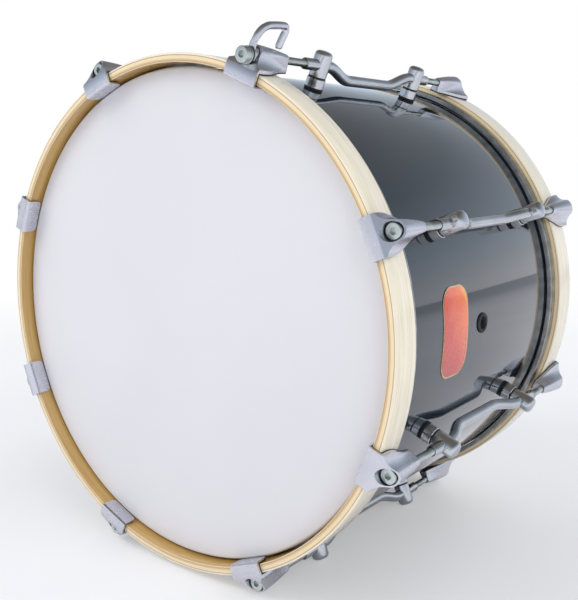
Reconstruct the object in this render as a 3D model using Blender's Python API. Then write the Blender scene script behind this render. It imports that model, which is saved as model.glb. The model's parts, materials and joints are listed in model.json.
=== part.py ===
"""A tenor drum: gloss shell, two heads under laminated wooden hoops, and eight tube lugs.

Metres, +Z up. The drum lies on its side with its axis along Y: the front head faces -Y.
The origin is the middle of the base, under the lowest lug posts.
Every lug column has one front claw and one rear claw, each pulled in by its own tension rod.
"""
import math

import bmesh
import bpy
from mathutils import Matrix

# Clearance between pieces that touch
FIT = 0.0003

# Shell
SHELL_DIAMETER = 0.4064
SHELL_DEPTH = 0.3048
SHELL_WALL = 0.0065
EDGE_ROUND = 0.0015
EDGE_CUT = 0.0035

# Heads and the metal flesh hoops that hold their rims
FILM = 0.0006
FLESH_HOOP_LENGTH = 0.0095
FLESH_HOOP_LEDGE = 0.0024
GROOVE_DEPTH = 0.0018
GROOVE_LENGTH = 0.0035

# Wooden hoops
HOOP_SPACE = 0.003
HOOP_THICKNESS = 0.0072
HOOP_WIDTH = 0.0264
HOOP_REACH = 0.012
HOOP_CHAMFER = 0.0008

# Lug columns
COLUMNS = 8
ROD_STANDOFF = 0.0195
POST_SPACING = 0.150
POST_RADIUS = 0.0074
COLLAR_RADIUS = 0.0078
COLLAR_HEIGHT = 0.0092
SEAL_HEIGHT = 0.0011
SEAL_DEPTH = 0.0007
POST_OVERHANG = 0.0118
CAP_HEIGHT = 0.0032
CAP_FLAT_RADIUS = 0.0034
TUBE_RADIUS = 0.0046
TUBE_LENGTH = 0.194
TUBE_DROP = 0.0095
TUBE_FLAT_LENGTH = 0.060
BEND_CLEARANCE = 0.0015

# Claws
CLAW_WIDTH = 0.031
CLAW_LENGTH = 0.0435
CLAW_WALL = 0.0018
CLAW_LINER = 0.0010
CLAW_EDGE = 0.0030
LIP_REACH = 0.0105
LIP_ROUND = 0.0022
LIP_CORNER = 0.0038
BOSS_RADIUS = 0.0084
NOSE_RADIUS = 0.0044
SHOULDER_START = 0.004
SHOULDER_END = 0.042
RIDGE_HEIGHT = 0.0009
FACE_SLOPE = 0.70
SEAT_DEPTH = 0.0113

# Tension rods
ROD_RADIUS = 0.003
ROD_ENGAGEMENT = 0.018
ROD_CLEARANCE = 0.0004
HEAD_RADIUS = 0.0060
HEAD_HEIGHT = 0.0053
HEAD_CHAMFER = 0.0006
HEAD_CLEARANCE = 0.0009
SOCKET_FLATS = 0.005
SOCKET_DEPTH = 0.003
WASHER_THICKNESS = 0.0012
WASHER_RADIUS = 0.0066

# Carry hook, on one front rod
HOOK_COLUMN = 2
HOOK_RADIUS = 0.003
HOOK_STRAP = (0.0012, 0.0034)
HOOK_EYE_RADIUS = 0.0065
HOOK_EYE_THICKNESS = 0.0103
HOOK_HEIGHT = 0.0235
HOOK_LENGTH = 0.031
HOOK_RISE = 0.0015
HOOK_TIP_GAP = 0.0012
HOOK_LEAN = 0.0022
COVER_THICKNESS = 0.0014

# Vent grommet, half way between two columns
VENT_OFFSET = -0.011
VENT_BORE_RADIUS = 0.005
VENT_BARREL_RADIUS = 0.0063
VENT_FLANGE_RADIUS = 0.0085
VENT_FLANGE = 0.0012

# Facets
RING_STEPS = 48
POST_STEPS = 12
TUBE_STEPS = 8
BORE_STEPS = 10

# Radii and lengths that follow
SHELL_R = SHELL_DIAMETER / 2
SHELL_IN_R = SHELL_R - SHELL_WALL
EDGE_Y = SHELL_DEPTH / 2
COLLAR_IN_R = SHELL_R + FIT
COLLAR_R = COLLAR_IN_R + FILM
FLESH_IN_R = COLLAR_R + FIT
HOOP_IN_R = SHELL_R + HOOP_SPACE
FLESH_R = HOOP_IN_R + FLESH_HOOP_LEDGE
HOOP_R = HOOP_IN_R + HOOP_THICKNESS
HALF_LENGTH = EDGE_Y + HOOP_REACH
ROD_R = SHELL_R + ROD_STANDOFF
COLUMN_STEP = math.tau / COLUMNS
BASE = HOOP_R + FIT - ROD_R
LIP_WALL = CLAW_LINER + CLAW_WALL
LIP_FRONT = -(FIT + LIP_WALL)
LIP_ROOF = HOOP_IN_R * math.cos(math.pi / RING_STEPS) - FIT - ROD_R
LIP_FLOOR = LIP_ROOF - LIP_WALL
RIDGE = BASE + RIDGE_HEIGHT


def clear_scene():
    for thing in list(bpy.data.objects):
        bpy.data.objects.remove(thing, do_unlink=True)


def material(name, colour, roughness, metallic=0.0):
    made = bpy.data.materials.new(name)
    made.use_nodes = True
    shader = made.node_tree.nodes["Principled BSDF"]
    shader.inputs["Base Color"].default_value = (*colour, 1.0)
    shader.inputs["Roughness"].default_value = roughness
    shader.inputs["Metallic"].default_value = metallic
    return made


def mesh_of(bm, name):
    """Close a bmesh into a mesh with outward faces."""
    bmesh.ops.recalc_face_normals(bm, faces=bm.faces)
    mesh = bpy.data.meshes.new(name)
    bm.to_mesh(mesh)
    bm.free()
    return mesh


def lathe(profile, steps, closed=True):
    """Spin a profile of (along, radius) pairs about the Y axis.

    An open profile starts and ends on the axis.
    """
    bm = bmesh.new()
    points = [bm.verts.new((radius, along, 0)) for along, radius in profile]
    for first, second in zip(points, points[1:]):
        bm.edges.new((first, second))
    if closed:
        bm.edges.new((points[-1], points[0]))
    bmesh.ops.spin(bm, geom=bm.verts[:] + bm.edges[:], cent=(0, 0, 0), axis=(0, 1, 0),
                   angle=math.tau, steps=steps, use_merge=True)
    bmesh.ops.remove_doubles(bm, verts=bm.verts, dist=1e-6)
    return bm


def loft(sections):
    """Join sections with equal numbers of points, and cap both ends."""
    bm = bmesh.new()
    rings = [[bm.verts.new(point) for point in section] for section in sections]
    count = len(rings[0])
    for near, far in zip(rings, rings[1:]):
        for i in range(count):
            j = (i + 1) % count
            bm.faces.new((near[i], near[j], far[j], far[i]))
    bm.faces.new(rings[0])
    bm.faces.new(rings[-1])
    return bm


def sweep(path, sides):
    """Run an oval along a path in the XY plane: path holds (x, y, depth in plane, width)."""
    sections = []
    for i, (x, y, depth, width) in enumerate(path):
        ahead = path[min(i + 1, len(path) - 1)]
        behind = path[max(i - 1, 0)]
        lean = math.atan2(ahead[1] - behind[1], ahead[0] - behind[0])
        section = []
        for k in range(sides):
            turn = math.tau * (k + 0.5) / sides
            side = depth * math.cos(turn)
            section.append((x - side * math.sin(lean), y + side * math.cos(lean),
                            width * math.sin(turn)))
        sections.append(section)
    return loft(sections)


def combine(body, tool, operation):
    """Boolean two meshes with the exact solver and return the new mesh."""
    holder = bpy.data.objects.new("holder", body)
    other = bpy.data.objects.new("tool", tool)
    for thing in (holder, other):
        bpy.context.collection.objects.link(thing)
    step = holder.modifiers.new(operation.title(), "BOOLEAN")
    step.operation = operation
    step.solver = "EXACT"
    step.object = other
    graph = bpy.context.evaluated_depsgraph_get()
    result = bpy.data.meshes.new_from_object(holder.evaluated_get(graph))
    bpy.data.objects.remove(holder)
    bpy.data.objects.remove(other)
    bpy.data.meshes.remove(body)
    bpy.data.meshes.remove(tool)
    return result


def pin(radius, start, end, steps=BORE_STEPS, about="Y"):
    """A plain round bar, as a cutter or a shank."""
    bm = lathe([(start, 0), (start, radius), (end, radius), (end, 0)], steps, closed=False)
    if about == "X":
        bm.transform(Matrix.Rotation(-math.pi / 2, 4, "Z"))
    return mesh_of(bm, "pin")


def place(name, mesh, finish, frame, location=(0, 0, 0), rotation=(0, 0, 0)):
    """Put a mesh in the scene as one named piece of the drum."""
    if not mesh.materials:
        mesh.materials.append(finish)
        mesh.shade_smooth()
        mesh.set_sharp_from_angle(angle=math.radians(40))
    piece = bpy.data.objects.new(name, mesh)
    bpy.context.collection.objects.link(piece)
    piece.parent = frame
    piece.location = location
    piece.rotation_euler = rotation
    return piece


def column_angle(index):
    """Angle of a lug column about the drum's axis, anticlockwise from +X seen from the front."""
    return COLUMN_STEP * (index - 0.5)


def on_column(index, end):
    """Location and rotation that bring a rod-axis piece to a column's front or rear end."""
    angle = column_angle(index)
    location = (ROD_R * math.cos(angle), end * HALF_LENGTH, ROD_R * math.sin(angle))
    return location, (math.pi if end > 0 else 0, -angle, 0)


def shell_mesh():
    """Tube with a rounded outer and a bevelled inner bearing edge, bored for the vent."""
    crest = SHELL_R - EDGE_ROUND
    half = [(EDGE_Y - EDGE_CUT, SHELL_IN_R), (EDGE_Y, crest),
            (EDGE_Y - EDGE_ROUND * (1 - math.cos(math.pi / 4)),
             crest + EDGE_ROUND * math.sin(math.pi / 4)), (EDGE_Y - EDGE_ROUND, SHELL_R)]
    profile = half + [(-y, radius) for y, radius in reversed(half)]
    body = mesh_of(lathe(profile, RING_STEPS), "shell")
    drill = pin(VENT_BARREL_RADIUS + FIT, SHELL_IN_R / 2, 1.5 * SHELL_R, 2 * BORE_STEPS, "X")
    drill.transform(Matrix.Translation((0, VENT_OFFSET, 0)))
    return combine(body, drill, "DIFFERENCE")


def head_mesh():
    """Film that lies over the bearing edge, with a collar and a bead in the flesh hoop."""
    centre_y = EDGE_Y - EDGE_ROUND
    centre_r = SHELL_R - EDGE_ROUND
    inner = EDGE_ROUND + FIT
    outer = inner + FILM
    bead = EDGE_Y + HOOP_REACH - HOOP_WIDTH - FIT - (FLESH_HOOP_LENGTH - GROOVE_LENGTH) / 2
    bead_end = bead - GROOVE_LENGTH + 2 * FIT

    def bend(radius, turn):
        return centre_y + radius * math.cos(turn), centre_r + radius * math.sin(turn)

    turns = [0, math.pi / 4, math.pi / 2]
    profile = [(centre_y + outer, 0)] + [bend(outer, turn) for turn in turns]
    profile += [(bead, COLLAR_R), (bead - FIT, FLESH_IN_R + GROOVE_DEPTH - FIT),
                (bead_end, FLESH_IN_R + GROOVE_DEPTH - FIT), (bead_end, COLLAR_IN_R)]
    profile += [bend(inner, turn) for turn in reversed(turns)] + [(centre_y + inner, 0)]
    return mesh_of(lathe(profile, RING_STEPS, closed=False), "head")


def flesh_hoop_mesh():
    """Metal ring under the wooden hoop, grooved inside for the head's bead."""
    top = EDGE_Y + HOOP_REACH - HOOP_WIDTH - FIT
    low = top - FLESH_HOOP_LENGTH
    upper = top - (FLESH_HOOP_LENGTH - GROOVE_LENGTH) / 2 + FIT
    lower = upper - GROOVE_LENGTH - FIT
    floor = FLESH_IN_R + GROOVE_DEPTH
    profile = [(top, FLESH_IN_R), (top, FLESH_R), (low, FLESH_R), (low, FLESH_IN_R),
               (lower, FLESH_IN_R), (lower, floor), (upper, floor), (upper, FLESH_IN_R)]
    return mesh_of(lathe(profile, RING_STEPS), "flesh_hoop")


def hoop_mesh():
    """Bent wooden hoop with its two outer corners eased."""
    front = HALF_LENGTH
    rear = HALF_LENGTH - HOOP_WIDTH
    ease = HOOP_CHAMFER
    profile = [(front, HOOP_IN_R), (front, HOOP_R - ease), (front - ease, HOOP_R),
               (rear + ease, HOOP_R), (rear, HOOP_R - ease), (rear, HOOP_IN_R)]
    return mesh_of(lathe(profile, RING_STEPS), "hoop")


def grommet_mesh():
    """Eyelet through the shell wall, flanged outside and inside."""
    fall = VENT_FLANGE_RADIUS * math.tan(math.pi / RING_STEPS)
    outside = SHELL_R + FIT
    inside = SHELL_IN_R - fall - FIT
    ease = VENT_FLANGE / 2
    profile = [(inside - VENT_FLANGE, VENT_BORE_RADIUS),
               (inside - VENT_FLANGE, VENT_FLANGE_RADIUS), (inside, VENT_FLANGE_RADIUS),
               (inside, VENT_BARREL_RADIUS), (outside, VENT_BARREL_RADIUS),
               (outside, VENT_FLANGE_RADIUS), (outside + ease, VENT_FLANGE_RADIUS),
               (outside + VENT_FLANGE, VENT_FLANGE_RADIUS - ease),
               (outside + VENT_FLANGE, VENT_BORE_RADIUS + ease), (outside, VENT_BORE_RADIUS)]
    bm = lathe(profile, 2 * BORE_STEPS)
    bm.transform(Matrix.Rotation(-math.pi / 2, 4, "Z"))
    return mesh_of(bm, "vent_grommet")


def boss_radius(y):
    """The claw's round boss, from its sloping face to the nose."""
    share = min(max((y - SHOULDER_START) / (CLAW_LENGTH - SHOULDER_START), 0), 1)
    return NOSE_RADIUS + (BOSS_RADIUS - NOSE_RADIUS) * (1 - share ** 1.6)


def claw_half_width(y):
    """The claw's plan outline: full width over the hoop, a bell sweep down to the boss."""
    share = min(max((y - SHOULDER_START) / (SHOULDER_END - SHOULDER_START), 0), 1)
    flare = CLAW_WIDTH / 2 - BOSS_RADIUS
    return boss_radius(y) + flare * math.cos(share * math.pi / 2) ** 2


def claw_section(y):
    """Outline across the claw: foot, thin edge, concave sweep and round boss."""
    boss = boss_radius(y)
    width = claw_half_width(y)
    floor = LIP_FLOOR
    if y < LIP_FRONT + LIP_ROUND:
        sunk = (LIP_FRONT + LIP_ROUND - y) / LIP_ROUND
        floor += LIP_ROUND * (1 - math.sqrt(1 - sunk * sunk))
    edge = (BASE + CLAW_EDGE, width)
    tangent = (boss * math.sin(math.radians(35)), boss * math.cos(math.radians(35)))
    pull = (edge[0] + 0.15 * (tangent[0] - edge[0]), tangent[1] + 0.25 * (edge[1] - tangent[1]))
    sweep_point = tuple(0.25 * e + 0.5 * p + 0.25 * t for e, p, t in zip(edge, pull, tangent))
    shoulder = (boss * math.sin(math.radians(63)), boss * math.cos(math.radians(63)))
    half = [(floor, width), edge, sweep_point, tangent, shoulder]
    outline = half + [(boss, 0)] + [(x, -z) for x, z in reversed(half)]
    return [(x, y, z) for x, z in outline]


def channel_cutter():
    """Space that the hoop's edge fills, with everything under the claw behind the lip."""
    past = CLAW_LENGTH + SHELL_WALL
    under = LIP_FLOOR - SHELL_WALL
    corners = [(-FIT, BASE), (past, BASE), (past, under), (LIP_REACH, under),
               (LIP_REACH, LIP_ROOF), (-FIT, LIP_ROOF)]
    spread = math.asin(0.8 * CLAW_WIDTH / HOOP_R)
    steps = 6
    sections = []
    for k in range(steps + 1):
        turn = spread * (2 * k / steps - 1)
        sections.append([((x + ROD_R) * math.cos(turn) - ROD_R, y, (x + ROD_R) * math.sin(turn))
                         for y, x in corners])
    return mesh_of(loft(sections), "channel")


def claw_mesh():
    """Cast claw over the hoop's edge, with its liner, screw seat and rod bore.

    Local frame: X outward from the rod axis, Y inward from the hoop's face.
    """
    span = CLAW_LENGTH - SHOULDER_START
    stations = [LIP_FRONT, LIP_FRONT + 0.6 * LIP_ROUND, LIP_FRONT + LIP_ROUND, SHOULDER_START]
    stations += [SHOULDER_START + span * share for share in (0.27, 0.5, 0.73, 1)]
    bm = loft([claw_section(y) for y in stations])
    cut = bmesh.ops.bisect_plane(bm, geom=bm.verts[:] + bm.edges[:] + bm.faces[:], dist=1e-7,
                                 plane_co=(RIDGE, LIP_FRONT, 0),
                                 plane_no=(FACE_SLOPE, -1, 0), clear_outer=True)
    rim = [item for item in cut["geom_cut"] if isinstance(item, bmesh.types.BMEdge)]
    bmesh.ops.holes_fill(bm, edges=rim)
    body = combine(mesh_of(bm, "claw"), channel_cutter(), "DIFFERENCE")
    far = LIP_FRONT - BOSS_RADIUS
    seat = pin(HEAD_RADIUS + HEAD_CLEARANCE, far, SEAT_DEPTH, 2 * BORE_STEPS)
    body = combine(body, seat, "DIFFERENCE")
    bore = pin(ROD_RADIUS + ROD_CLEARANCE, 0, CLAW_LENGTH + BOSS_RADIUS)
    body = combine(body, bore, "DIFFERENCE")
    bm = bmesh.new()
    bm.from_mesh(body)
    half = CLAW_WIDTH / 2
    corners = [edge for edge in bm.edges
               if all(abs(v.co.y - LIP_REACH) < 1e-5 and abs(abs(v.co.z) - half) < 1e-3
                      and v.co.x < BASE - CLAW_LINER for v in edge.verts)]
    bmesh.ops.bevel(bm, geom=corners, offset=LIP_CORNER, segments=2, profile=0.5,
                    affect="EDGES")
    return mesh_of(bm, "claw")


def rod_mesh():
    """Socket-head tension rod with its washer. The origin is under the washer."""
    under_head = -WASHER_THICKNESS
    face = under_head - HEAD_HEIGHT
    seat = HALF_LENGTH - TUBE_LENGTH / 2 - SEAT_DEPTH + FIT
    end = seat + ROD_ENGAGEMENT
    profile = [(face, 0), (face, HEAD_RADIUS - HEAD_CHAMFER), (face + HEAD_CHAMFER, HEAD_RADIUS),
               (under_head, HEAD_RADIUS), (under_head, WASHER_RADIUS), (0, WASHER_RADIUS),
               (0, ROD_RADIUS), (end, ROD_RADIUS), (end, 0)]
    body = mesh_of(lathe(profile, POST_STEPS, closed=False), "rod")
    socket = pin(SOCKET_FLATS / math.sqrt(3), face - SOCKET_DEPTH, face + SOCKET_DEPTH, 6)
    return combine(body, socket, "DIFFERENCE")


def post_mesh():
    """Turned post about X: gasket foot saddled on the shell, collar, seal groove, domed cap."""
    foot = COLLAR_IN_R - ROD_R
    groove = foot + COLLAR_HEIGHT
    head = groove + SEAL_HEIGHT
    profile = [(foot, 0), (foot, COLLAR_RADIUS), (groove, COLLAR_RADIUS),
               (groove + SEAL_HEIGHT / 2, POST_RADIUS - SEAL_DEPTH), (head, POST_RADIUS)]
    profile += cap_profile()
    bm = lathe(profile, POST_STEPS, closed=False)
    bm.transform(Matrix.Rotation(-math.pi / 2, 4, "Z"))
    for vert in bm.verts:
        if abs(vert.co.x - foot) < 1e-6:
            vert.co.x = math.sqrt(COLLAR_IN_R ** 2 - vert.co.z ** 2) - ROD_R
    return bm


def cap_profile():
    """Domed outer end of a post, as (height from the rod axis, radius)."""
    brow = 0.5 * (POST_RADIUS + CAP_FLAT_RADIUS) + 0.15 * (POST_RADIUS - CAP_FLAT_RADIUS)
    return [(POST_OVERHANG - CAP_HEIGHT, POST_RADIUS),
            (POST_OVERHANG - 0.3 * CAP_HEIGHT, brow),
            (POST_OVERHANG, CAP_FLAT_RADIUS), (POST_OVERHANG, 0)]


def tube_path():
    """Tube centre line: straight through the posts, sunk towards the shell between them."""
    start = POST_SPACING / 2 - POST_RADIUS - BEND_CLEARANCE
    end = TUBE_FLAT_LENGTH / 2
    half = [(0, TUBE_LENGTH / 2)]
    for share in (0, 0.25, 0.5, 0.75, 1):
        drop = TUBE_DROP * (0.5 - 0.5 * math.cos(math.pi * share))
        half.append((-drop, start + (end - start) * share))
    points = half + [(x, -y) for x, y in reversed(half)]
    return [(x, y, TUBE_RADIUS, TUBE_RADIUS) for x, y in points]


def lug_mesh():
    """Tube through two posts, bored at both ends for the tension rods."""
    body = mesh_of(sweep(tube_path(), TUBE_STEPS), "tube")
    for side in (-1, 1):
        bm = post_mesh()
        bm.transform(Matrix.Translation((0, side * POST_SPACING / 2, 0)))
        body = combine(body, mesh_of(bm, "post"), "UNION")
    depth = ROD_ENGAGEMENT + ROD_RADIUS / 2
    for side in (-1, 1):
        mouth = side * (TUBE_LENGTH / 2 - depth)
        bore = pin(ROD_RADIUS + ROD_CLEARANCE, mouth, side * TUBE_LENGTH)
        body = combine(body, bore, "DIFFERENCE")
    return body


def hook_seat():
    """Height of the hook's eye under the washer, from the hoop's face inward."""
    return SEAT_DEPTH - 2 * FIT - HOOK_EYE_THICKNESS


def hook_path():
    """Centre line of the hook: out from the eye, back over the claw and down to the tip."""
    depth, width = HOOK_STRAP
    bar = HOOK_RADIUS
    front = SEAT_DEPTH - FIT - HOOK_EYE_THICKNESS + depth
    top = HOOK_HEIGHT
    reach = HOOK_LENGTH
    tip = boss_radius(reach) + HOOK_TIP_GAP + FIT
    return [(0.6 * HOOK_EYE_RADIUS, front, depth, width),
            (BOSS_RADIUS + 2 * FIT, front, depth, width),
            (0.5 * top, front + 0.3 * HOOK_LEAN, 0.75 * bar, bar),
            (0.66 * top, front + HOOK_LEAN, bar, bar),
            (0.83 * top, front + 2.3 * HOOK_LEAN, bar, bar),
            (0.93 * top, front + 4 * HOOK_LEAN, bar, bar),
            (top - 0.2 * HOOK_RISE, front + 6 * HOOK_LEAN, bar, bar),
            (top + 0.7 * HOOK_RISE, reach - bar, bar, bar),
            (top + 0.2 * HOOK_RISE, reach + 0.4 * bar, bar, bar),
            (top - 1.0 * bar, reach + 0.8 * bar, bar, bar),
            (0.7 * top, reach + 0.4 * bar, bar, bar),
            (tip + 0.6 * bar, reach - 0.1 * bar, bar, bar),
            (tip, reach - 0.15 * bar, 0.8 * bar, 0.8 * bar)]


def hook_mesh():
    """Forged hook: a thick eye in the claw's screw seat and a bent round bar."""
    back = SEAT_DEPTH - FIT
    eye = pin(HOOK_EYE_RADIUS, back - HOOK_EYE_THICKNESS, back, 2 * BORE_STEPS)
    body = combine(eye, mesh_of(sweep(hook_path(), TUBE_STEPS), "bar"), "UNION")
    bore = pin(ROD_RADIUS + ROD_CLEARANCE, back - 2 * HOOK_EYE_THICKNESS, 2 * back)
    return combine(body, bore, "DIFFERENCE")


def cover_washer_mesh():
    """Washer between the hook's eye and its screw head."""
    back = hook_seat()
    profile = [(back - COVER_THICKNESS, ROD_RADIUS + ROD_CLEARANCE),
               (back - COVER_THICKNESS, WASHER_RADIUS), (back, WASHER_RADIUS),
               (back, ROD_RADIUS + ROD_CLEARANCE)]
    return mesh_of(lathe(profile, 2 * BORE_STEPS), "hook_washer")


def base_height():
    """Depth of the lowest post cap below the drum's axis."""
    lean = math.pi / 2 - column_angle(COLUMNS // 4)
    return max((ROD_R + height) * math.cos(lean) + radius * math.sin(lean)
               for height, radius in cap_profile())


def hook_rod_lift():
    """How far the hook's rod stands out of the claw, next to the other rods."""
    return HOOK_EYE_THICKNESS + COVER_THICKNESS + 2 * FIT


def build():
    clear_scene()
    lacquer = material("shell_lacquer", (0.03, 0.035, 0.04), 0.06)
    film = material("head_film", (0.88, 0.88, 0.92), 0.35)
    maple = material("hoop_maple", (0.85, 0.70, 0.45), 0.3)
    alloy = material("flesh_hoop_alloy", (0.62, 0.64, 0.64), 0.35, 1.0)
    cast = material("claw_nickel", (0.80, 0.82, 0.86), 0.28, 1.0)
    chrome = material("chrome", (0.82, 0.84, 0.86), 0.10, 1.0)
    zinc = material("rod_steel", (0.75, 0.80, 0.78), 0.22, 1.0)
    rubber = material("black_rubber", (0.02, 0.02, 0.02), 0.7)

    # Rest on the lowest caps, with the origin half way along the whole drum
    frame = bpy.data.objects.new("drum", None)
    bpy.context.collection.objects.link(frame)
    rod_face = SEAT_DEPTH - FIT - WASHER_THICKNESS - HEAD_HEIGHT
    hook_face = rod_face - hook_rod_lift()
    frame.location = (0, (LIP_FRONT - hook_face) / 2, base_height())

    place("shell", shell_mesh(), lacquer, frame)
    grommet = place("vent_grommet", grommet_mesh(), rubber, frame)
    grommet.location = (0, VENT_OFFSET, 0)
    head, flesh_hoop, hoop = head_mesh(), flesh_hoop_mesh(), hoop_mesh()
    claw, rod, lug = claw_mesh(), rod_mesh(), lug_mesh()
    for end, word, turn in ((-1, "front", math.pi), (1, "rear", 0)):
        place(word + "_head", head, film, frame, rotation=(turn, 0, 0))
        place(word + "_flesh_hoop", flesh_hoop, alloy, frame, rotation=(turn, 0, 0))
        place(word + "_hoop", hoop, maple, frame, rotation=(turn, 0, 0))
        for index in range(1, COLUMNS + 1):
            spot, twist = on_column(index, end)
            place("%s_claw_%d" % (word, index), claw, cast, frame, spot, twist)
            depth = SEAT_DEPTH - FIT
            if end < 0 and index == HOOK_COLUMN:
                depth -= hook_rod_lift()
            under = (spot[0], spot[1] - end * depth, spot[2])
            place("%s_tension_rod_%d" % (word, index), rod, zinc, frame, under, twist)
    for index in range(1, COLUMNS + 1):
        angle = column_angle(index)
        place("lug_%d" % index, lug, chrome, frame,
              (ROD_R * math.cos(angle), 0, ROD_R * math.sin(angle)), (0, -angle, 0))
    spot, twist = on_column(HOOK_COLUMN, -1)
    place("carry_hook", hook_mesh(), cast, frame, spot, twist)
    place("hook_washer", cover_washer_mesh(), rubber, frame, spot, twist)


build()
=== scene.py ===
import json
import math

import bmesh
import bpy
from mathutils import Euler, Matrix, Vector


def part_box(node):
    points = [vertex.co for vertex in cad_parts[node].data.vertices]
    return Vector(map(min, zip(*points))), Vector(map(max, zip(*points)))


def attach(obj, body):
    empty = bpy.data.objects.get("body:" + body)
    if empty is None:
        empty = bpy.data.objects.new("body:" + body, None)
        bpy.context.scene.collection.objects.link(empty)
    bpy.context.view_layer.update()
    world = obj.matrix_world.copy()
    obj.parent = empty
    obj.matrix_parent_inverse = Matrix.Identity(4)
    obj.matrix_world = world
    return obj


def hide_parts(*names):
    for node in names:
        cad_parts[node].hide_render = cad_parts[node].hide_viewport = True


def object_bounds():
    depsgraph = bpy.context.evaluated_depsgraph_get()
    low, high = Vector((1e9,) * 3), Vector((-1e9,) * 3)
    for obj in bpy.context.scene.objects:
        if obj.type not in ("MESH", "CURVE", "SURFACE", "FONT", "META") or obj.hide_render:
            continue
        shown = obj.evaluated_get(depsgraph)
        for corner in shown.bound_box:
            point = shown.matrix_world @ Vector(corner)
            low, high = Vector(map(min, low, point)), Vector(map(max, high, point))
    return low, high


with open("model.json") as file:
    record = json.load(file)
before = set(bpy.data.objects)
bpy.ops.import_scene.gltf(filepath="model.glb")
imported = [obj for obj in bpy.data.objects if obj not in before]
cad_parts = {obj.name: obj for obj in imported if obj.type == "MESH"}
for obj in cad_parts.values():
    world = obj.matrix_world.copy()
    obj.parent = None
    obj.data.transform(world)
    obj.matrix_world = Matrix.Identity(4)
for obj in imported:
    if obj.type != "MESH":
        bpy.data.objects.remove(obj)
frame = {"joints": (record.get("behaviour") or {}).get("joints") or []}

# Tenor drum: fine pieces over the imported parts. Metres, +Z up, the drum's axis along Y.

cad_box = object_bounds()

# Places read from the frame
shell_low, shell_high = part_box("shell")
hoop_low, hoop_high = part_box("front_hoop")
flesh_low, flesh_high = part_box("front_flesh_hoop")
CENTRE = (shell_low + shell_high) / 2
SHELL_R = (shell_high.x - shell_low.x) / 2
EDGE_Y = (shell_high.y - shell_low.y) / 2
HOOP_R = (hoop_high.x - hoop_low.x) / 2
FLESH_R = (flesh_high.x - flesh_low.x) / 2
HALF_LENGTH = CENTRE.y - hoop_low.y
HOOP_WIDTH = hoop_high.y - hoop_low.y
FLESH_TOP = CENTRE.y - flesh_low.y
FLESH_LOW = CENTRE.y - flesh_high.y
rod_joint = next(j for j in frame["joints"] if j["name"] == "front_tension_rod_1_turn")
ROD_R = math.hypot(rod_joint["pos_m"][0] - CENTRE.x, rod_joint["pos_m"][2] - CENTRE.z)

# Clearance of touching pieces, and a hair's breadth that keeps two faces apart
FIT = 0.0003
HAIR = 0.0001

# The eight columns of claws, rods and lugs, and the front and rear copies of a piece
COLUMNS = 8
HOOK_COLUMN = 2
ENDS = (("front", -1), ("rear", 1))
TURNS = (("front", math.pi), ("rear", 0))

# Sides of large and small round pieces, and the angles that stay sharp or are bevelled
RING = 256
ROUND = 48
SHARP_ANGLE = math.radians(35)
BEVEL_ANGLE = math.radians(40)

# Brings a piece that was spun about Y to stand along X
UPRIGHT = Matrix.Rotation(-math.pi / 2, 4, "Z")

# Shell and heads
EDGE_ROUND = 0.0015
EDGE_CREST = (EDGE_Y - EDGE_ROUND, SHELL_R - EDGE_ROUND)
EDGE_SLOPE = 0.0035
FILM = 0.0006
FILM_TUCK = 0.004
SHELL_WALL = 0.0065

# Flesh hoops, and the dark seam that runs round each
FLESH_EASE = 0.0006
SEAM_PLACE = 0.0022
SEAM_HALF_WIDTH = 0.0002
SEAM_DEPTH = 0.0002
SEAM_HEIGHT = 0.00028

# Hoops
HOOP_THICKNESS = 0.0072
HOOP_IN_R = HOOP_R - HOOP_THICKNESS
HOOP_EASE = 0.0008
HOOP_INNER_EASE = 0.0003

# Claws
BASE = HOOP_R + FIT - ROD_R
CLAW_WIDTH = 0.031
CLAW_LENGTH = 0.0435
CLAW_WALL = 0.0018
CLAW_LINER = 0.0010
CLAW_EDGE = 0.0030
LIP_REACH = 0.0105
LIP_ROUND = 0.0022
LIP_CORNER = 0.0038
LIP_WALL = CLAW_LINER + CLAW_WALL
LIP_FRONT = -(FIT + LIP_WALL)
LIP_ROOF = HOOP_IN_R - FIT - ROD_R
LIP_FLOOR = LIP_ROOF - LIP_WALL
BOSS_RADIUS = 0.0084
BOSS_TAPER = 1.6
BOSS_FROM = 35
NOSE_RADIUS = 0.0044
NOSE_EASE = 0.0008
SHOULDER_START = 0.004
SHOULDER_END = 0.042
RIDGE = BASE + 0.0009
FACE_SLOPE = 0.70
SEAT_DEPTH = 0.0113
SEAT_RADIUS = 0.0069
CLAW_SOFTEN = 0.00035
CLAW_STATIONS = 30
CHANNEL_STEPS = 12

# Tension rods
SHANK_RADIUS = 0.003
ROD_BORE = SHANK_RADIUS + 0.0004
HEAD_RADIUS = 0.0060
HEAD_HEIGHT = 0.0053
HEAD_CHAMFER = 0.0006
HEAD_EASE = 0.0002
SOCKET_RADIUS = 0.005 / math.sqrt(3)
SOCKET_DEPTH = 0.003
WASHER_THICKNESS = 0.0012
WASHER_RADIUS = 0.0066
WASHER_BORE = SHANK_RADIUS + 0.0002
WASHER_EASE = 0.00025
THREAD_PITCH = 0.0011
THREAD_DEPTH = 0.00035
THREAD_LENGTH = 0.032

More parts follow.
